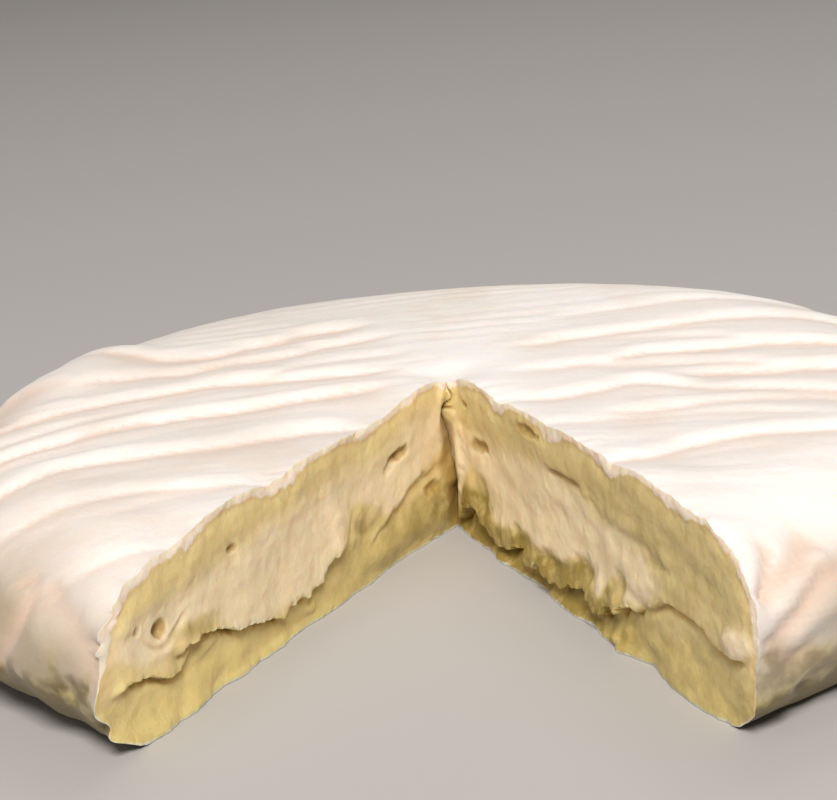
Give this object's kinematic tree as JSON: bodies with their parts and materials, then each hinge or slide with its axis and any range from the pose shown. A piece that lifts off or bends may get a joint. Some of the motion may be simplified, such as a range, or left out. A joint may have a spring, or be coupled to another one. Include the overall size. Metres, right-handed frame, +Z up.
{
  "type": "cheese wheel",
  "caption": "Round, low soft-ripened cheese wheel with a white bloomy rind, from which one wedge is cut out so that the creamy paste shows on two upright cut faces.",
  "frame": {"origin": "centre of the bounding box's underside, on the surface that the wheel rests on", "axes": "+Z up; the cut-out wedge opens towards -Y, and its point lies behind the wheel's middle"},
  "size_m": [0.217, 0.2004, 0.0351],
  "materials": {
    "cheese": "soft matt white rind with a velvety bloom, over moist ivory paste on the cut faces"
  },
  "bodies": {
    "root": {"cheese_wheel": "cheese"}
  },
  "joints": []
}
